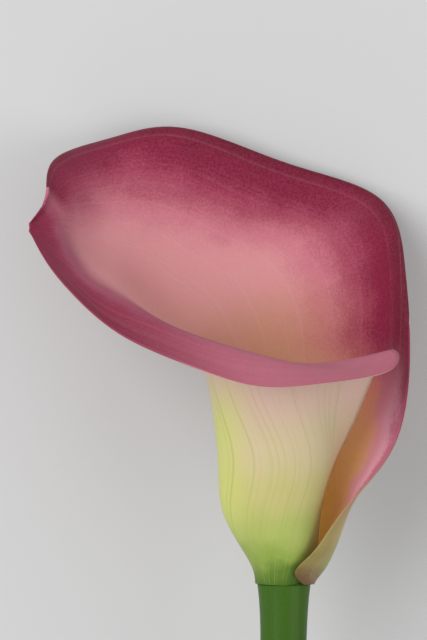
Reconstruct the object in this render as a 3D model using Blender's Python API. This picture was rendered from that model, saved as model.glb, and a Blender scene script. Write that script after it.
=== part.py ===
"""Calla lily flower, cut from its plant and laid on its back.

Three pieces: the stem, the spathe (one rolled petal-like leaf) and the spadix inside it.
The flower's own frame has x across it, y up the tube, and z out of the open front.
Lying down, y runs along the surface and z points up, so the rolled back rim and the stem's
cut end carry the flower. Lengths are metres; the tables below are millimetres.
"""
import math

import bmesh
import bpy
import numpy as np
from mathutils import Vector

# ---------------------------------------------------------------- driving dimensions
MM = 0.001
BASE = Vector((0.01516, 0.03072, 0.03945))    # where the spathe joins the stem

STEM_LENGTH = 165 * MM
STEM_TOP_RADIUS = 6.3 * MM
STEM_NECK_RADIUS = 5.3 * MM             # thinnest, a little below the spathe
STEM_NECK_AT = 14 * MM
STEM_END_RADIUS = 5.7 * MM
STEM_DROP = 34 * MM                     # how far the cut end hangs below the top
STEM_SWAY = 10 * MM                     # how far the cut end swings to -x
STEM_BEND = 1.8                         # 1 is straight; more keeps the bend near the cut end
STEM_SIDES = 32
STEM_RINGS = 26

SPATHE_THICKNESS = 0.9 * MM
SPATHE_BASE = -2.0                      # mm, height of the spathe's lower edge
SPATHE_LEVELS = 2                       # subdivision of the cage
CAGE_PASSES = 4                         # how closely the smooth sheet meets its points
COLUMNS = 10                            # points across the sheet, outer edge to inner edge
COLUMN_CROWDING = 1.35                  # above 1, the tube's columns crowd its outer edge
EDGE_UNTIL = 0.1                        # share of the turn over which the outer edge fades
BESIDE_REACH = 0.3                      # and how far the radius beside it is felt
INNER_SHARE = 0.34                      # share of the turn that draws in to the inner edge

SPADIX_LENGTH = 40 * MM
SPADIX_RADIUS = 3.4 * MM
SPADIX_STALK_RADIUS = 2.3 * MM
SPADIX_LEAN = -3 * MM                   # its tip leans towards the back wall
SPADIX_SIDES = 24

JOINT_GAP = 0.3 * MM                    # kept between neighbouring pieces

# The tube, from the stem upwards. Angle 0 is the front, 90 is +x, 180 is the back.
# height, centre x, radius at the outer edge, beside it, in the middle, at the inner edge,
# angle of the outer edge, angle of the inner edge
SPATHE_TUBE = [
    (SPATHE_BASE, 0.0, 7.0, 6.9, 6.4, 5.2, 40, 420),
    (1.5, 0.9, 8.6, 8.5, 8.0, 6.2, 10, 424),
    (6.5, 0.9, 11.2, 11.0, 10.6, 7.4, 34, 430),
    (16, 0.0, 15.8, 15.0, 14.4, 8.8, 60, 442),
    (28, 0.0, 22.4, 18.8, 15.3, 12.4, 80, 450),
]

# The flared limb above the tube. Each row crosses the sheet from the outer edge, rolled
# back behind its crest, over the back and round the front to the inner edge.
SPATHE_LIMB = [
    [(28.8, 42, 4), (26, 42, -4), (19, 42, -14), (7, 42, -19), (-6, 42, -17.5),
     (-15.1, 41, -8.5), (-16.4, 41, 5), (-9.5, 41, 15.2), (5, 41, 16.8), (17.5, 38.5, 3)],
    [(30, 57, -5), (28.2, 57, -9), (21, 56, -19), (8, 54, -24), (-7, 52, -22),
     (-17, 50, -11), (-18.5, 49.5, 6), (-12.5, 50.5, 18), (5, 49, 18), (24, 53, 7)],
    [(29.2, 73, -20), (28.2, 73, -16), (21, 72, -25), (6, 66, -28), (-10, 61, -24.5),
     (-21, 57, -12), (-22.5, 54, 7), (-15.5, 53.5, 21), (3, 50, 23), (25.5, 49, 12)],
    [(22.5, 88, -37.5), (23.8, 90, -32.5), (14, 84.5, -33), (-1, 76.5, -32), (-15, 69, -26),
     (-26, 62, -14), (-28, 59, 8), (-22, 56.5, 24), (-7, 52.3, 30.5), (8, 45.8, 27)],
    [(2, 95, -37.5), (1, 98.4, -33.5), (-6, 92, -31.8), (-14, 83, -30.5), (-24, 74.5, -25),
     (-32, 67, -13.5), (-33.5, 63.5, 9), (-29, 60, 25), (-19.5, 55, 33), (-8, 45.4, 35)],
    [(-22, 103.6, -36), (-24, 107.2, -32), (-25, 100, -29.5), (-29, 90, -27), (-34, 80.5, -22),
     (-38.5, 73, -11.5), (-39.5, 69, 8.5), (-37, 64.8, 22), (-31.5, 59.8, 30.5), (-24, 50.8, 37.5)],
    [(-39, 101, -39), (-41.5, 104.8, -34), (-40, 98.5, -27), (-41, 90, -22), (-43, 82, -16),
     (-45, 76.3, -7), (-46, 72.5, 6.5), (-45, 69, 16.5), (-43, 64.5, 24.5), (-38.5, 57.5, 34)],
    [(-52, 98, -27), (-55.2, 99.3, -22), (-52, 94, -16.5), (-50, 88.8, -13), (-50, 84, -8.5),
     (-50.5, 80, -3.5), (-51, 76.5, 4), (-51, 73.5, 10), (-50.5, 70.8, 15), (-49.5, 66.8, 23.5)],
    [(-54.7, 91, -13), (-56.4, 90.3, -9), (-56, 88, -8), (-55.5, 86, -6), (-55, 84, -4),
     (-55, 81.5, -1.5), (-55.3, 79, 2), (-55.5, 77, 5), (-55.5, 75.5, 8), (-55.8, 74, 11)],
]
SPATHE_TIP = (-60.3, 82.4, 0)           # the point where every vein of the sheet ends
SPATHE_TIP_WIDTH = 2.2


def clear_scene():
    for old in list(bpy.data.objects):
        bpy.data.objects.remove(old, do_unlink=True)


def add_material(obj, name, colour, roughness):
    material = bpy.data.materials.new(name)
    material.use_nodes = True
    shader = material.node_tree.nodes["Principled BSDF"]
    shader.inputs["Base Color"].default_value = (*colour, 1.0)
    shader.inputs["Roughness"].default_value = roughness
    shader.inputs["Metallic"].default_value = 0.0
    obj.data.materials.append(material)


def add_object(name, bm):
    bmesh.ops.recalc_face_normals(bm, faces=bm.faces)
    mesh = bpy.data.meshes.new(name)
    bm.to_mesh(mesh)
    bm.free()
    obj = bpy.data.objects.new(name, mesh)
    obj.location = BASE
    bpy.context.collection.objects.link(obj)
    return obj


def sweep(path, radii, sides):
    """A closed round bar through the path's points, with flat ends."""
    bm = bmesh.new()
    loops = []
    for i, (centre, radius) in enumerate(zip(path, radii)):
        ahead = path[min(i + 1, len(path) - 1)] - path[max(i - 1, 0)]
        side = Vector((1, 0, 0)).cross(ahead).normalized()
        across = ahead.cross(side).normalized()
        turns = [2 * math.pi * k / sides for k in range(sides)]
        loops.append([bm.verts.new(centre + radius * (math.cos(t) * across + math.sin(t) * side))
                      for t in turns])
    for low, high in zip(loops, loops[1:]):
        for k in range(sides):
            n = (k + 1) % sides
            bm.faces.new((low[k], low[n], high[n], high[k]))
    bm.faces.new(loops[0])
    bm.faces.new(loops[-1])
    return bm


def stem():
    """The cut flower stalk, drooping to the surface under its own weight."""
    top = SPATHE_BASE * MM - JOINT_GAP
    path, radii = [], []
    for i in range(STEM_RINGS):
        s = i / (STEM_RINGS - 1)
        bend = s ** STEM_BEND
        path.append(Vector((-STEM_SWAY * bend, top - STEM_LENGTH * s, -STEM_DROP * bend)))
        near_top = math.exp(-(s * STEM_LENGTH / STEM_NECK_AT * 2))
        body = STEM_NECK_RADIUS + (STEM_END_RADIUS - STEM_NECK_RADIUS) * s
        radii.append(body + (STEM_TOP_RADIUS - STEM_NECK_RADIUS) * near_top)
    obj = add_object("stem", sweep(path, radii, STEM_SIDES))
    add_material(obj, "stem_green", (0.10, 0.22, 0.03), 0.45)


def spadix():
    """The finger of tiny florets that stands on the stem's top, inside the tube."""
    foot = SPATHE_BASE * MM + JOINT_GAP
    stalk = [(0.0, 1.0), (0.06, 1.0)]
    body = [(0.12, 0.9), (0.2, 1.0), (0.45, 1.0), (0.7, 0.94), (0.85, 0.82), (0.93, 0.64),
            (0.98, 0.36), (1.0, 0.12)]
    path, radii = [], []
    for s, share in stalk:
        path.append(Vector((0, foot + SPADIX_LENGTH * s, SPADIX_LEAN * s)))
        radii.append(SPADIX_STALK_RADIUS * share)
    for s, share in body:
        path.append(Vector((0, foot + SPADIX_LENGTH * s, SPADIX_LEAN * s)))
        radii.append(SPADIX_RADIUS * share)
    obj = add_object("spadix", sweep(path, radii, SPADIX_SIDES))
    add_material(obj, "spadix_yellow", (0.72, 0.47, 0.06), 0.7)


def tube_row(height, centre, edge, beside, middle, inner, start, stop):
    """One turn of the tube, from the outer edge round the back to the inner edge."""
    row = []
    for k in range(COLUMNS):
        f = (k / (COLUMNS - 1)) ** COLUMN_CROWDING
        radius = middle + (edge - middle) * max(0, 1 - f / EDGE_UNTIL)
        radius += (beside - middle) * max(0, 1 - abs(f - EDGE_UNTIL) / BESIDE_REACH)
        radius += (inner - middle) * max(0, (f - 1 + INNER_SHARE) / INNER_SHARE)
        turn = math.radians(start + (stop - start) * f)
        row.append((centre + radius * math.sin(turn), height, radius * math.cos(turn)))
    return row


def spathe_points():
    rows = [tube_row(*ring) for ring in SPATHE_TUBE] + SPATHE_LIMB
    x, y, z = SPATHE_TIP
    steps = [SPATHE_TIP_WIDTH * (0.5 - k / (COLUMNS - 1)) for k in range(COLUMNS)]
    rows.append([(x, y + step, z) for step in steps])
    return np.array(rows) * MM


def smoothed(points):
    """Where a subdivided cage comes to rest at its own corners, along one direction."""
    inside = (points[:-2] + 4 * points[1:-1] + points[2:]) / 6
    return np.concatenate([points[:1], inside, points[-1:]])


def cage_through(points):
    """Push a cage out until its smooth sheet passes close to the given points."""
    cage = points.copy()
    for _ in range(CAGE_PASSES):
        along = smoothed(cage)
        cage = cage + points - smoothed(along.swapaxes(0, 1)).swapaxes(0, 1)
    return cage


def spathe():
    """One leaf rolled into a funnel: a smooth sheet over a coarse cage, then thickened."""
    cage = cage_through(spathe_points())
    bm = bmesh.new()
    grid = [[bm.verts.new(point) for point in row] for row in cage]
    for low, high in zip(grid, grid[1:]):
        for k in range(COLUMNS - 1):
            bm.faces.new((low[k], low[k + 1], high[k + 1], high[k]))
    obj = add_object("spathe", bm)
    smooth = obj.modifiers.new("smooth sheet", "SUBSURF")
    smooth.levels = SPATHE_LEVELS
    smooth.render_levels = SPATHE_LEVELS
    smooth.boundary_smooth = "PRESERVE_CORNERS"
    thick = obj.modifiers.new("leaf thickness", "SOLIDIFY")
    thick.thickness = SPATHE_THICKNESS
    thick.offset = 0.0
    add_material(obj, "spathe_rose", (0.55, 0.16, 0.22), 0.5)


clear_scene()
stem()
spadix()
spathe()
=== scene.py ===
import math

import bpy
import numpy as np
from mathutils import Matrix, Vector


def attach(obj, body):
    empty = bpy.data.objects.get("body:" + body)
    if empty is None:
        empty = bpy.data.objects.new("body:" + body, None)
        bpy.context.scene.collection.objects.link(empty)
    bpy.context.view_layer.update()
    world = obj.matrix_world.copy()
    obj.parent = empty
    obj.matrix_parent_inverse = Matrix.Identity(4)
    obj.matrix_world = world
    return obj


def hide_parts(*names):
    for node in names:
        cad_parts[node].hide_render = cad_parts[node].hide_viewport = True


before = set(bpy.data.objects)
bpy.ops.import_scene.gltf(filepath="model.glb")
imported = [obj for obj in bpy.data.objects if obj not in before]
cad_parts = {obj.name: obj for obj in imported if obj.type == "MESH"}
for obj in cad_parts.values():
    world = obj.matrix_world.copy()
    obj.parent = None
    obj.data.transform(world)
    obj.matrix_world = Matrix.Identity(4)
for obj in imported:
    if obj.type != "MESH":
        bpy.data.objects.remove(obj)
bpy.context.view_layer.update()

MM = 0.001
# The spathe joins the stem here; +y runs up the tube and +z out of its open front.
BASE = Vector((0.01516, 0.03072, 0.03945))


# ------------------------------------------------------------------ floor, light and camera
# A sheet of pale grey card under the flower, lit by a large soft window on the upper left
# and filled a little from the right. The camera hangs straight above the flower.
LIT_POINT = (0, 0.06, 0.03)
CAMERA_DISTANCE = 0.9
PICTURE_HEIGHT = 0.1517                 # metres of flower from the top to the bottom of the view


def new_material(name):
    """A material with its node tree and its shader."""
    material = bpy.data.materials.new(name)
    material.use_nodes = True
    return material, material.node_tree, material.node_tree.nodes["Principled BSDF"]


bpy.ops.object.select_all(action="DESELECT")
bpy.ops.mesh.primitive_plane_add(size=6.0, location=(0, 0, 0))
floor = bpy.context.object
floor.name = "floor"
card, _, card_shader = new_material("grey_card")
card_shader.inputs["Base Color"].default_value = (0.53, 0.53, 0.535, 1)
card_shader.inputs["Roughness"].default_value = 0.9
card_shader.inputs["Specular IOR Level"].default_value = 0.1
floor.data.materials.append(card)

world = bpy.data.worlds.new("soft_room")
bpy.context.scene.world = world
world.use_nodes = True
sky = world.node_tree.nodes["Background"]
sky.inputs["Color"].default_value = (1, 1, 1, 1)
sky.inputs["Strength"].default_value = 0.68


def soft_light(name, place, size, watts):
    bpy.ops.object.light_add(type="AREA", location=place)
    lamp = bpy.context.object
    lamp.name = name
    lamp.data.shape = "DISK"
    lamp.data.size = size
    lamp.data.energy = watts
    lamp.rotation_euler = (Vector(LIT_POINT) - Vector(place)).to_track_quat("-Z", "Y").to_euler()


soft_light("window", (-1.05, 0.45, 1.4), 1.5, 22.0)
soft_light("fill", (0.9, -0.2, 0.8), 0.9, 3.5)

bpy.ops.object.camera_add(location=BASE + Vector((-0.0167, 0.0604, CAMERA_DISTANCE)))
camera = bpy.context.object
camera.name = "camera"
camera.rotation_euler = (0, 0, 0)
camera.data.sensor_fit = "VERTICAL"
camera.data.sensor_height = 24.0
camera.data.lens = camera.data.sensor_height * CAMERA_DISTANCE / PICTURE_HEIGHT
bpy.context.scene.camera = camera
bpy.context.scene.view_settings.view_transform = "Standard"


# ------------------------------------------------------------------ spathe
# One fleshy leaf, under a millimetre thick, that grew rolled into a funnel: its outer edge
# laps over the inner one, its rim rolls back, and its veins run from the stem to the tip.
# A coarse cage gives the smooth sheet, which is thickened, with its edges left thin.
COLUMNS = 10                            # points across the sheet, outer edge to inner edge
COLUMN_CROWDING = 1.35                  # above 1, the tube's columns crowd its outer edge
EDGE_UNTIL = 0.1                        # share of the turn over which the outer edge fades
BESIDE_REACH = 0.3                      # and how far the radius beside it is felt
INNER_SHARE = 0.34                      # share of the turn that draws in to the inner edge
CAGE_PASSES = 4                         # how closely the smooth sheet meets its points
SHEET_LEVELS = 4
SPATHE_THICKNESS = 0.9 * MM
EDGE_THINNING = 0.4                     # share of the thickness left at the very edge
THINNING_WIDTH = 4                      # millimetres over which an edge thins
INSIDE_VEINS = 75.0                     # noise cells across the whole sheet
OUTSIDE_VEINS = 130.0

# height, centre x, radius at the outer edge, beside it, in the middle, at the inner edge,
# angle of the outer edge, angle of the inner edge; angle 0 is the front and 90 is +x
TUBE = [
    (-2.0, 0.0, 7.0, 6.9, 6.4, 5.2, 40, 420),
    (1.5, 0.9, 8.6, 8.5, 8.0, 6.2, 10, 424),
    (6.5, 0.9, 11.2, 11.0, 10.6, 7.4, 34, 430),
    (16, 0.0, 15.8, 15.0, 14.4, 8.8, 60, 442),
    (28, 0.0, 22.4, 18.8, 15.3, 12.4, 80, 450),
]

# Each row crosses the sheet from the outer edge, rolled back behind its crest, over the back
# and round the front to the inner edge.
LIMB = [
    [(28.8, 42, 4), (26, 42, -4), (19, 42, -14), (7, 42, -19), (-6, 42, -17.5),
     (-15.1, 41, -8.5), (-16.4, 41, 5), (-9.5, 41, 15.2), (5, 41, 16.8), (17.5, 38.5, 3)],
    [(30, 57, -5), (28.2, 57, -9), (21, 56, -19), (8, 54, -24), (-7, 52, -22),
     (-17, 50, -11), (-18.5, 49.5, 6), (-12.5, 50.5, 18), (5, 49, 18), (24, 53, 7)],
    [(29.2, 73, -20), (28.2, 73, -16), (21, 72, -25), (6, 66, -28), (-10, 61, -24.5),
     (-21, 57, -12), (-22.5, 54, 7), (-15.5, 53.5, 21), (3, 50, 23), (25.5, 49, 12)],
    [(22.5, 88, -37.5), (23.8, 90, -32.5), (14, 84.5, -33), (-1, 76.5, -32), (-15, 69, -26),
     (-26, 62, -14), (-28, 59, 8), (-22, 56.5, 24), (-7, 52.3, 30.5), (8, 45.8, 27)],
    [(2, 95, -37.5), (1, 98.4, -33.5), (-6, 92, -31.8), (-14, 83, -30.5), (-24, 74.5, -25),
     (-32, 67, -13.5), (-33.5, 63.5, 9), (-29, 60, 25), (-19.5, 55, 33), (-8, 45.4, 35)],
    [(-22, 103.6, -36), (-24, 107.2, -32), (-25, 100, -29.5), (-29, 90, -27), (-34, 80.5, -22),
     (-38.5, 73, -11.5), (-39.5, 69, 8.5), (-37, 64.8, 22), (-31.5, 59.8, 30.5), (-24, 50.8, 37.5)],
    [(-39, 101, -39), (-41.5, 104.8, -34), (-40, 98.5, -27), (-41, 90, -22), (-43, 82, -16),
     (-45, 76.3, -7), (-46, 72.5, 6.5), (-45, 69, 16.5), (-43, 64.5, 24.5), (-38.5, 57.5, 34)],
    [(-52, 98, -27), (-55.2, 99.3, -22), (-52, 94, -16.5), (-50, 88.8, -13), (-50, 84, -8.5),
     (-50.5, 80, -3.5), (-51, 76.5, 4), (-51, 73.5, 10), (-50.5, 70.8, 15), (-49.5, 66.8, 23.5)],
    [(-54.7, 91, -13), (-56.4, 90.3, -9), (-56, 88, -8), (-55.5, 86, -6), (-55, 84, -4),
     (-55, 81.5, -1.5), (-55.3, 79, 2), (-55.5, 77, 5), (-55.5, 75.5, 8), (-55.8, 74, 11)],
]
TIP = (-60.3, 82.4, 0)
TIP_WIDTH = 2.2


def tube_row(height, centre, edge, beside, middle, inner, start, stop):
    """One turn of the tube, from the outer edge round the back to the inner edge."""
    row = []
    for k in range(COLUMNS):
        f = (k / (COLUMNS - 1)) ** COLUMN_CROWDING
        radius = middle + (edge - middle) * max(0, 1 - f / EDGE_UNTIL)
        radius += (beside - middle) * max(0, 1 - abs(f - EDGE_UNTIL) / BESIDE_REACH)
        radius += (inner - middle) * max(0, (f - 1 + INNER_SHARE) / INNER_SHARE)
        turn = math.radians(start + (stop - start) * f)
        row.append((centre + radius * math.sin(turn), height, radius * math.cos(turn)))
    return row


def smoothed(points):
    """Where a subdivided cage comes to rest at its own corners, along one direction."""
    between = (points[:-2] + 4 * points[1:-1] + points[2:]) / 6
    return np.concatenate([points[:1], between, points[-1:]])


tip_steps = [TIP_WIDTH * (0.5 - k / (COLUMNS - 1)) for k in range(COLUMNS)]
tip_row = [(TIP[0], TIP[1] + step, TIP[2]) for step in tip_steps]
points = np.array([tube_row(*ring) for ring in TUBE] + LIMB + [tip_row]) * MM
cage = points.copy()
for _ in range(CAGE_PASSES):
    along = smoothed(cage)
    cage = cage + points - smoothed(along.swapaxes(0, 1)).swapaxes(0, 1)

rows = len(cage)
bpy.ops.object.select_all(action="DESELECT")
bpy.ops.mesh.primitive_grid_add(x_subdivisions=COLUMNS - 1, y_subdivisions=rows - 1, size=1.0,
                                calc_uvs=True, location=(0, 0, 0))
spathe = bpy.context.object
spathe.name = "spathe_leaf"
steps = np.linalg.norm(np.diff(points, axis=1), axis=2)
across = np.concatenate([np.zeros((rows, 1)), np.cumsum(steps, axis=1)], axis=1)
from_outer, from_inner = [], []
thickness = spathe.vertex_groups.new(name="thickness")
for vertex in spathe.data.vertices:
    k = round((vertex.co.x + 0.5) * (COLUMNS - 1))
    i = round((vertex.co.y + 0.5) * (rows - 1))
    vertex.co = BASE + Vector(cage[i, k])
    from_outer.append(across[i, k] / MM)
    from_inner.append((across[i, -1] - across[i, k]) / MM)
    nearest = min(from_outer[-1], from_inner[-1])
    thickness.add([vertex.index], min(1.0, nearest / THINNING_WIDTH), "REPLACE")
for name, distances in (("from_outer", from_outer), ("from_inner", from_inner)):
    layer = spathe.data.attributes.new(name, "FLOAT", "POINT")
    layer.data.foreach_set("value", distances)

smooth = spathe.modifiers.new("smooth sheet", "SUBSURF")
smooth.levels = SHEET_LEVELS
smooth.render_levels = SHEET_LEVELS
smooth.boundary_smooth = "PRESERVE_CORNERS"
bpy.ops.object.modifier_apply(modifier=smooth.name)
# The thickened sheet's outer side takes the first slot and its inner side the second.
outside, outside_tree, outside_shader = new_material("spathe_outside")
inside, inside_tree, inside_shader = new_material("spathe_inside")
spathe.data.materials.append(outside)
spathe.data.materials.append(inside)
thick = spathe.modifiers.new("leaf thickness", "SOLIDIFY")
thick.thickness = SPATHE_THICKNESS
thick.offset = 0.0
thick.vertex_group = "thickness"
thick.thickness_vertex_group = EDGE_THINNING
thick.material_offset = 1
bpy.ops.object.modifier_apply(modifier=thick.name)
bpy.ops.object.mode_set(mode="EDIT")
bpy.ops.mesh.select_all(action="SELECT")
bpy.ops.mesh.normals_make_consistent(inside=False)
bpy.ops.object.mode_set(mode="OBJECT")
bpy.ops.object.shade_smooth()


def add(tree, kind, inputs=None, **settings):
    """A shader node, with each input either linked or set."""
    made = tree.nodes.new(kind)
    for key, value in settings.items():
        setattr(made, key, value)
    for key, value in (inputs or {}).items():
        if isinstance(value, bpy.types.NodeSocket):
            tree.links.new(value, made.inputs[key])
        else:
            made.inputs[key].default_value = value
    return made


def blend(tree, share, first, second):
    """One colour laid over another by a share from 0 to 1."""
    made = add(tree, "ShaderNodeMix", {0: share}, data_type="RGBA")
    for socket, value in ((made.inputs[6], first), (made.inputs[7], second)):
        if isinstance(value, bpy.types.NodeSocket):
            tree.links.new(value, socket)
        else:
            socket.default_value = (*value, 1.0)
    return made.outputs[2]


def rise(tree, value, low, high, to_low=0.0, to_high=1.0):
    """A soft step from one value to another while the input goes from low to high."""
    made = add(tree, "ShaderNodeMapRange",
               {"Value": value, "From Min": low, "From Max": high, "To Min": to_low,
                "To Max": to_high}, interpolation_type="SMOOTHSTEP")
    return made.outputs["Result"]


def ramp(tree, value, stops):
    """Colours eased into one another as the value goes from 0 to 1."""
    made = add(tree, "ShaderNodeValToRGB", {"Fac": value})
    made.color_ramp.interpolation = "EASE"
    while len(made.color_ramp.elements) < len(stops):
        made.color_ramp.elements.new(0.5)
    for element, (place, colour) in zip(made.color_ramp.elements, stops):
        element.position = place
        element.color = (*colour, 1.0)
    return made.outputs["Color"]


def maths(tree, operation, first, second):
    return add(tree, "ShaderNodeMath", {0: first, 1: second}, operation=operation).outputs[0]


def times(tree, first, second):
    return maths(tree, "MULTIPLY", first, second)


def around_zero(tree, value, width):
    """A value from 0 to 1 turned into one from -width / 2 to width / 2."""
    return times(tree, maths(tree, "SUBTRACT", value, 0.5), width)


def leaf_skin_group():
    """Veins that follow the leaf's own grain, and the fine mottling of its cells."""
    group = bpy.data.node_groups.new("leaf_skin", "ShaderNodeTree")
    face = group.interface
    face.new_socket(name="Grain", in_out="INPUT", socket_type="NodeSocketVector")
    face.new_socket(name="Place", in_out="INPUT", socket_type="NodeSocketVector")
    face.new_socket(name="Vein Count", in_out="INPUT", socket_type="NodeSocketFloat")
    face.new_socket(name="Veins", in_out="OUTPUT", socket_type="NodeSocketFloat")
    face.new_socket(name="Mottle", in_out="OUTPUT", socket_type="NodeSocketFloat")
    face.new_socket(name="Clouds", in_out="OUTPUT", socket_type="NodeSocketFloat")
    face.new_socket(name="Height", in_out="OUTPUT", socket_type="NodeSocketFloat")
    start = group.nodes.new("NodeGroupInput")
    end = group.nodes.new("NodeGroupOutput")
    parts = add(group, "ShaderNodeSeparateXYZ", {0: start.outputs["Grain"]})
    wander = add(group, "ShaderNodeTexNoise",
                 {"Vector": start.outputs["Grain"], "Scale": 3.0, "Detail": 2.0})
    sideways = maths(group, "ADD", parts.outputs[0], times(group, wander.outputs[0], 0.014))
    lines = times(group, sideways, start.outputs["Vein Count"])
    length = times(group, parts.outputs[1], 0.9)
    stretched = add(group, "ShaderNodeCombineXYZ", {0: lines, 1: length})
    strands = add(group, "ShaderNodeTexNoise",
                  {"Vector": stretched.outputs[0], "Scale": 1.0, "Detail": 3.0, "Roughness": 0.6})
    veins = rise(group, strands.outputs[0], 0.48, 0.78)
    speckle = add(group, "ShaderNodeTexNoise",
                  {"Vector": start.outputs["Place"], "Scale": 1900.0, "Detail": 2.0, "Roughness": 0.6})
    mottle = rise(group, speckle.outputs[0], 0.3, 0.7)
    cloud = add(group, "ShaderNodeTexNoise",
                {"Vector": start.outputs["Place"], "Scale": 110.0, "Detail": 4.0, "Roughness": 0.55})
    height = maths(group, "ADD", times(group, veins, 0.7), times(group, mottle, 0.25))
    group.links.new(veins, end.inputs["Veins"])
    group.links.new(mottle, end.inputs["Mottle"])
    group.links.new(cloud.outputs[0], end.inputs["Clouds"])
    group.links.new(height, end.inputs["Height"])
    return group


leaf_skin = leaf_skin_group()


def leaf_inputs(tree, vein_count):
    """The skin, then four distances in millimetres: up, to +x, and in from each edge."""
    uv = add(tree, "ShaderNodeUVMap", uv_map="UVMap").outputs[0]
    place = add(tree, "ShaderNodeTexCoord").outputs["Object"]
    skin = add(tree, "ShaderNodeGroup", node_tree=leaf_skin)
    tree.links.new(uv, skin.inputs["Grain"])
    tree.links.new(place, skin.inputs["Place"])
    skin.inputs["Vein Count"].default_value = vein_count
    position = add(tree, "ShaderNodeSeparateXYZ", {0: place})
    height = times(tree, maths(tree, "SUBTRACT", position.outputs[1], BASE.y), 1 / MM)
    side = times(tree, maths(tree, "SUBTRACT", position.outputs[0], BASE.x), 1 / MM)
    outer = add(tree, "ShaderNodeAttribute", attribute_name="from_outer").outputs["Fac"]
    inner = add(tree, "ShaderNodeAttribute", attribute_name="from_inner").outputs["Fac"]
    return skin, height, side, outer, inner


def petal_surface(tree, shader, colour, skin, roughness, strength):
    """Satin plant tissue that lets a little light in, with raised veins and cells."""
    tree.links.new(colour, shader.inputs["Base Color"])
    gloss = rise(tree, skin.outputs["Mottle"], 0.0, 1.0, roughness - 0.05, roughness + 0.07)
    tree.links.new(gloss, shader.inputs["Roughness"])
    bump = add(tree, "ShaderNodeBump",
               {"Strength": strength, "Distance": 0.25 * MM, "Height": skin.outputs["Height"]})
    tree.links.new(bump.outputs[0], shader.inputs["Normal"])
    shader.inputs["Subsurface Weight"].default_value = 0.12
    shader.inputs["Subsurface Radius"].default_value = (1.0, 0.35, 0.3)
    shader.inputs["Subsurface Scale"].default_value = 2 * MM
    shader.inputs["Sheen Weight"].default_value = 0.02
    shader.inputs["Sheen Roughness"].default_value = 0.4
    shader.inputs["Specular IOR Level"].default_value = 0.14


# The inside: a golden tube brightened with painted light, a painted tan glow in the throat, a rose
# limb and a crimson rim.
tree, shader = inside_tree, inside_shader
skin, height, side, outer, inner = leaf_inputs(tree, INSIDE_VEINS)
uneven = maths(tree, "ADD", around_zero(tree, skin.outputs["Clouds"], 9.0),
               around_zero(tree, skin.outputs["Mottle"], 2.0))
# The gold at the foot of this ramp is the leaf's own yellow, brightened with painted light shining
# through the lapped leaf; its tan middle stop is part of the painted throat glow.
limb = ramp(tree, rise(tree, height, 0.0, 84.0), [
    (0.0, (1.0, 0.86, 0.14)), (0.25, (0.95, 0.64, 0.14)), (0.5, (0.52, 0.25, 0.11)),
    (0.7, (0.58, 0.28, 0.22)), (1.0, (0.63, 0.27, 0.285))])
# Painted glow: tan laid round a point deep in the throat, standing for light thrown back from the
# spadix.
place = add(tree, "ShaderNodeTexCoord").outputs["Object"]
throat = add(tree, "ShaderNodeVectorMath", {0: place, 1: BASE + Vector((9, 47, -14)) * MM},
             operation="DISTANCE")
painted_throat_glow = rise(tree, throat.outputs["Value"], 8 * MM, 34 * MM, 0.85, 0.0)
limb = blend(tree, painted_throat_glow, limb, (0.46, 0.22, 0.10))
# The crimson band behind the rim is wide on the limb and narrows to pink down the tube.
down_tube = rise(tree, height, 20.0, 58.0, 1.0, 0.0)
reach = maths(tree, "ADD", outer, uneven)
reach = times(tree, reach, maths(tree, "ADD", 1.0, times(tree, down_tube, 0.5)))
back_rim = ramp(tree, rise(tree, reach, 0.0, 44.0), [
    (0.0, (0.12, 0.004, 0.020)), (0.2, (0.19, 0.006, 0.036)), (0.45, (0.27, 0.014, 0.062)),
    (0.75, (0.42, 0.070, 0.140)), (1.0, (0.58, 0.22, 0.26))])
# The band's pink is the leaf's own colour; its golden last stop is painted light shining through the
# lapped outer edge into the gap beneath it.
pink_band = ramp(tree, rise(tree, reach, 0.0, 24.0), [
    (0.0, (0.55, 0.16, 0.27)), (0.2, (0.85, 0.42, 0.54)), (0.6, (0.82, 0.36, 0.42)),
    (1.0, (0.86, 0.46, 0.20))])
back_rim = blend(tree, down_tube, back_rim, pink_band)
colour = blend(tree, rise(tree, reach, 12.0, 46.0, 1.0, 0.0), limb, back_rim)
# The front lip is crimson at the tip and fades to a greyish rose where it curls over.
front_reach = maths(tree, "ADD", inner, uneven)
front_rim = ramp(tree, rise(tree, front_reach, 0.0, 36.0), [
    (0.0, (0.17, 0.006, 0.032)), (0.25, (0.21, 0.012, 0.045)), (0.6, (0.29, 0.050, 0.095)),
    (1.0, (0.40, 0.130, 0.160))])
front_rim = blend(tree, rise(tree, side, -46.0, 0.0, 0.0, 0.85), front_rim, (0.43, 0.135, 0.185))
front_share = times(tree, rise(tree, inner, 22.0, 37.0, 1.0, 0.0), rise(tree, height, 36.0, 44.0))
colour = blend(tree, front_share, colour, front_rim)
tip_share = times(tree, rise(tree, side, -58.0, -40.0, 1.0, 0.0),
                  rise(tree, maths(tree, "MINIMUM", inner, outer), 12.0, 26.0))
colour = blend(tree, times(tree, tip_share, 0.6), colour, (0.27, 0.095, 0.12))
streak = times(tree, skin.outputs["Veins"], rise(tree, height, 38.0, 60.0, 0.04, 0.10))
colour = blend(tree, streak, colour, (0.70, 0.36, 0.40))
colour = blend(tree, times(tree, skin.outputs["Mottle"], 0.035), colour, (0.75, 0.42, 0.46))
petal_surface(tree, shader, colour, skin, 0.46, 0.35)

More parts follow.
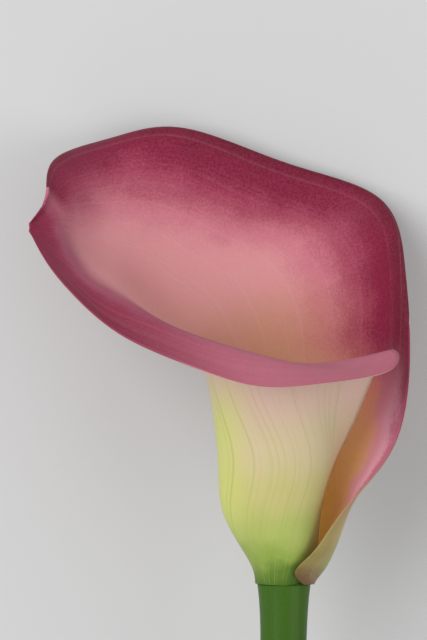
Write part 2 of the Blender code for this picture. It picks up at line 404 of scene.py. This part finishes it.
# The outside: green at the stem, then yellow-green, cream and rose, with greenish veins.
tree, shader = outside_tree, outside_shader
skin, height, side, outer, inner = leaf_inputs(tree, OUTSIDE_VEINS)
cloudy = around_zero(tree, skin.outputs["Clouds"], 8.0)
tube = ramp(tree, rise(tree, maths(tree, "ADD", height, cloudy), -4.0, 76.0), [
    (0.0, (0.036, 0.098, 0.007)), (0.008, (0.09, 0.17, 0.02)), (0.03, (0.24, 0.33, 0.06)),
    (0.08, (0.36, 0.42, 0.11)), (0.2, (0.47, 0.43, 0.17)), (0.4, (0.53, 0.44, 0.27)),
    (0.65, (0.58, 0.41, 0.34)), (1.0, (0.58, 0.32, 0.32))])
# Painted light: the tube's left side, toward the window, is made yellow-green to stand for light
# glowing through the leaf there.
painted_left_glow = times(tree, rise(tree, side, -15.5, -6.0, 1.0, 0.0),
                  rise(tree, height, 34.0, 52.0, 0.8, 0.0))
painted_left_glow = times(tree, painted_left_glow, rise(tree, height, 2.0, 16.0))
colour = blend(tree, painted_left_glow, tube, (0.52, 0.56, 0.15))
# The coloured margin follows both edges, but the inner one only where it leaves the tube.
inner_guard = rise(tree, height, 44.0, 54.0, 16.0, 0.0)
near = maths(tree, "MINIMUM", outer, maths(tree, "ADD", inner, inner_guard))
near = maths(tree, "ADD", near, around_zero(tree, skin.outputs["Mottle"], 1.5))
edge_colour = ramp(tree, rise(tree, near, 0.0, 16.0), [
    (0.0, (0.26, 0.02, 0.07)), (0.25, (0.45, 0.11, 0.18)), (1.0, (0.60, 0.30, 0.32))])
edge_share = times(tree, rise(tree, near, 2.0, 15.0, 1.0, 0.0),
                   rise(tree, height, 8.0, 42.0, 0.42, 0.95))
colour = blend(tree, edge_share, colour, edge_colour)
green_line = times(tree, skin.outputs["Veins"], rise(tree, height, 34.0, 66.0, 0.55, 0.12))
colour = blend(tree, green_line, colour, (0.33, 0.36, 0.10))
petal_surface(tree, shader, colour, skin, 0.42, 0.30)

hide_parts("spathe")
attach(spathe, "root")


# ------------------------------------------------------------------ stem
# The smooth, sappy green stalk, round and solid with pale pith, cut straight across with a
# knife. It swells where the spathe grows out of it and droops to the surface at the cut.
STEM_LENGTH = 165 * MM
STEM_DROP = 34.1 * MM                   # how far the cut end hangs below the top
STEM_SWAY = 10 * MM                     # how far the cut end swings to -x
STEM_BEND = 1.8                         # 1 is straight; more keeps the bend near the cut end
STEM_SIDES = 48
STEM_RINGS = 48
STEM_SHOULDER = -2.3 * MM               # the full width starts here, under the spathe's edge
STEM_TOP = 1.5 * MM                     # above it, a narrower stump fills the spathe's foot
STUMP_RADIUS = 4.6 * MM
NECK_RADIUS = 5.3 * MM                  # thinnest, a little below the spathe
END_GROWTH = 0.4 * MM
TOP_SWELL = 1 * MM                      # added at the top, fading over the length below
SWELL_LENGTH = 7 * MM


def stem_centre(s):
    bend = s ** STEM_BEND
    return BASE + Vector((-STEM_SWAY * bend, STEM_SHOULDER - STEM_LENGTH * s, -STEM_DROP * bend))


def stem_radius(s):
    swell = TOP_SWELL * math.exp(-s * STEM_LENGTH / SWELL_LENGTH)
    return NECK_RADIUS + END_GROWTH * s + swell


here, width, lean = stem_centre(0) + Vector((0, STEM_TOP, 0)), STUMP_RADIUS, 0.0
bpy.ops.object.select_all(action="DESELECT")
bpy.ops.mesh.primitive_circle_add(vertices=STEM_SIDES, radius=width, fill_type="NGON",
                                  rotation=(math.radians(90), 0, 0), location=here)
stalk = bpy.context.object
stalk.name = "stem_stalk"
bpy.ops.object.transform_apply(location=True, rotation=True, scale=True)
bpy.ops.object.mode_set(mode="EDIT")
bpy.ops.mesh.select_all(action="SELECT")
for ring in range(STEM_RINGS + 1):
    s = ring / STEM_RINGS
    bpy.ops.mesh.extrude_region_move(TRANSFORM_OT_translate={"value": stem_centre(s) - here})
    here = stem_centre(s)
    grow = stem_radius(s) / width
    bpy.ops.transform.resize(value=(grow, grow, grow), center_override=here)
    width = stem_radius(s)
    droop = math.atan(STEM_BEND * s ** (STEM_BEND - 1) * STEM_DROP / STEM_LENGTH)
    bpy.ops.transform.rotate(value=droop - lean, orient_axis="X", center_override=here)
    lean = droop
# The rind stands a hair proud of the pith at the cut.
bpy.ops.mesh.inset(thickness=0.5 * MM, depth=0)
bpy.ops.mesh.inset(thickness=0.15 * MM, depth=-0.25 * MM)
for _ in range(3):
    bpy.ops.mesh.inset(thickness=1.2 * MM, depth=0)
bpy.ops.mesh.select_all(action="SELECT")
bpy.ops.mesh.normals_make_consistent(inside=False)
bpy.ops.object.mode_set(mode="OBJECT")
bpy.ops.object.shade_smooth_by_angle(angle=math.radians(50))

rind, tree, shader = new_material("stem_rind")
place = add(tree, "ShaderNodeTexCoord").outputs["Object"]
skin = add(tree, "ShaderNodeGroup", node_tree=leaf_skin)
streaks = add(tree, "ShaderNodeMapping", {"Vector": place, "Scale": (8.0, 0.6, 8.0)})
tree.links.new(streaks.outputs[0], skin.inputs["Grain"])
tree.links.new(place, skin.inputs["Place"])
skin.inputs["Vein Count"].default_value = 120.0
position = add(tree, "ShaderNodeSeparateXYZ", {0: place})
height = times(tree, maths(tree, "SUBTRACT", position.outputs[1], BASE.y), 1 / MM)
body = ramp(tree, rise(tree, height, -170.0, 2.0), [
    (0.0, (0.085, 0.175, 0.022)), (0.5, (0.045, 0.115, 0.008)), (0.93, (0.028, 0.085, 0.004)),
    (1.0, (0.036, 0.098, 0.007))])
colour = blend(tree, times(tree, skin.outputs["Veins"], 0.30), body, (0.070, 0.150, 0.018))
colour = blend(tree, times(tree, skin.outputs["Mottle"], 0.08), colour, (0.10, 0.18, 0.03))
petal_surface(tree, shader, colour, skin, 0.36, 0.18)

pith, tree, shader = new_material("stem_pith")
place = add(tree, "ShaderNodeTexCoord").outputs["Object"]
strands = add(tree, "ShaderNodeTexVoronoi", {"Vector": place, "Scale": 900.0})
dots = rise(tree, strands.outputs["Distance"], 0.12, 0.32, 1.0, 0.0)
colour = blend(tree, times(tree, dots, 0.6), (0.50, 0.58, 0.30), (0.24, 0.34, 0.09))
tree.links.new(colour, shader.inputs["Base Color"])
shader.inputs["Roughness"].default_value = 0.55
wet = add(tree, "ShaderNodeBump",
          {"Strength": 0.4, "Distance": 0.2 * MM, "Height": strands.outputs["Distance"]})
tree.links.new(wet.outputs[0], shader.inputs["Normal"])
stalk.data.materials.append(rind)
stalk.data.materials.append(pith)
end_point = stem_centre(1)
for face in stalk.data.polygons:
    flat = (face.center - end_point).length < width - 0.6 * MM
    face.material_index = 1 if flat and face.normal.y < -0.8 else 0
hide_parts("stem")
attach(stalk, "root")


# ------------------------------------------------------------------ spadix
# A fleshy finger on the stem's top, inside the tube, covered in a tight spiral of tiny
# yellow florets with pollen on them.
SPADIX_FOOT = -1.7 * MM
SPADIX_LENGTH = 40 * MM
SPADIX_RADIUS = 3 * MM                  # without the florets
SPADIX_TAPER = 0.06                     # share of the radius lost by the tip
SPADIX_LEAN = -3 * MM                   # its tip leans towards the back wall
STALK_RADIUS = 2.2 * MM
STALK_UNTIL = 0.1                       # bare stalk below this share of the length
ROUNDING_FROM = 0.72                    # the blunt tip starts here
# Shares of the length at which the core has a ring.
RINGS = [0.08, 0.12, 0.2, 0.35, 0.5, 0.65, 0.78, 0.86, 0.92, 0.96, 0.985]
FLORETS = 330
FLORET_RADIUS = 0.55 * MM
FIRST_FLORET = 0.13                     # share of the length below the florets
FLORET_SPAN = 0.86                      # and the share that they cover
GOLDEN_TURN = math.radians(137.5)


def spadix_radius(s):
    into_tip = max(0.0, (s - ROUNDING_FROM) / (1 - ROUNDING_FROM))
    return SPADIX_RADIUS * math.sqrt(max(0.0, 1 - into_tip ** 2.4)) * (1.0 - SPADIX_TAPER * s)


def spadix_centre(s):
    return BASE + Vector((0, SPADIX_FOOT + SPADIX_LENGTH * s, SPADIX_LEAN * s))


here, width = spadix_centre(0), STALK_RADIUS
bpy.ops.object.select_all(action="DESELECT")
bpy.ops.mesh.primitive_circle_add(vertices=24, radius=width, fill_type="NGON",
                                  rotation=(math.radians(90), 0, 0), location=here)
core = bpy.context.object
core.name = "spadix_florets"
bpy.ops.object.transform_apply(location=True, rotation=True, scale=True)
bpy.ops.object.mode_set(mode="EDIT")
bpy.ops.mesh.select_all(action="SELECT")
for s in RINGS:
    bpy.ops.mesh.extrude_region_move(TRANSFORM_OT_translate={"value": spadix_centre(s) - here})
    here = spadix_centre(s)
    target = STALK_RADIUS if s < STALK_UNTIL else spadix_radius(s)
    grow = target / width
    bpy.ops.transform.resize(value=(grow, grow, grow), center_override=here)
    width = target
bpy.ops.mesh.select_all(action="SELECT")
bpy.ops.mesh.normals_make_consistent(inside=False)
bpy.ops.object.mode_set(mode="OBJECT")
bpy.ops.object.shade_smooth()

bpy.ops.object.select_all(action="DESELECT")
bpy.ops.mesh.primitive_uv_sphere_add(segments=7, ring_count=5, radius=FLORET_RADIUS,
                                     location=(0, 0, 0))
floret = bpy.context.object
bpy.ops.object.shade_smooth()
copies = []
for n in range(FLORETS):
    s = FIRST_FLORET + FLORET_SPAN * n / (FLORETS - 1)
    radius = spadix_radius(s)
    turn = GOLDEN_TURN * n
    copy = floret.copy()
    copy.data = floret.data.copy()
    outwards = Vector((math.cos(turn), 0, math.sin(turn)))
    copy.location = spadix_centre(min(s, RINGS[-1])) + radius * outwards
    bpy.context.collection.objects.link(copy)
    copies.append(copy)
bpy.data.objects.remove(floret)
bpy.ops.object.select_all(action="DESELECT")
for copy in copies:
    copy.select_set(True)
core.select_set(True)
bpy.context.view_layer.objects.active = core
bpy.ops.object.join()

pollen, tree, shader = new_material("spadix_pollen")
place = add(tree, "ShaderNodeTexCoord").outputs["Object"]
grains = add(tree, "ShaderNodeTexNoise", {"Vector": place, "Scale": 2200.0, "Detail": 3.0})
patches = add(tree, "ShaderNodeTexNoise", {"Vector": place, "Scale": 260.0, "Detail": 2.0})
colour = ramp(tree, patches.outputs[0], [
    (0.3, (0.62, 0.36, 0.03)), (0.5, (0.80, 0.52, 0.06)), (0.7, (0.86, 0.66, 0.16))])
colour = blend(tree, times(tree, grains.outputs[0], 0.3), colour, (0.90, 0.74, 0.30))
tree.links.new(colour, shader.inputs["Base Color"])
shader.inputs["Roughness"].default_value = 0.75
dust = add(tree, "ShaderNodeBump",
           {"Strength": 0.5, "Distance": 0.2 * MM, "Height": grains.outputs[0]})
tree.links.new(dust.outputs[0], shader.inputs["Normal"])
core.data.materials.clear()
core.data.materials.append(pollen)
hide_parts("spadix")
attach(core, "root")
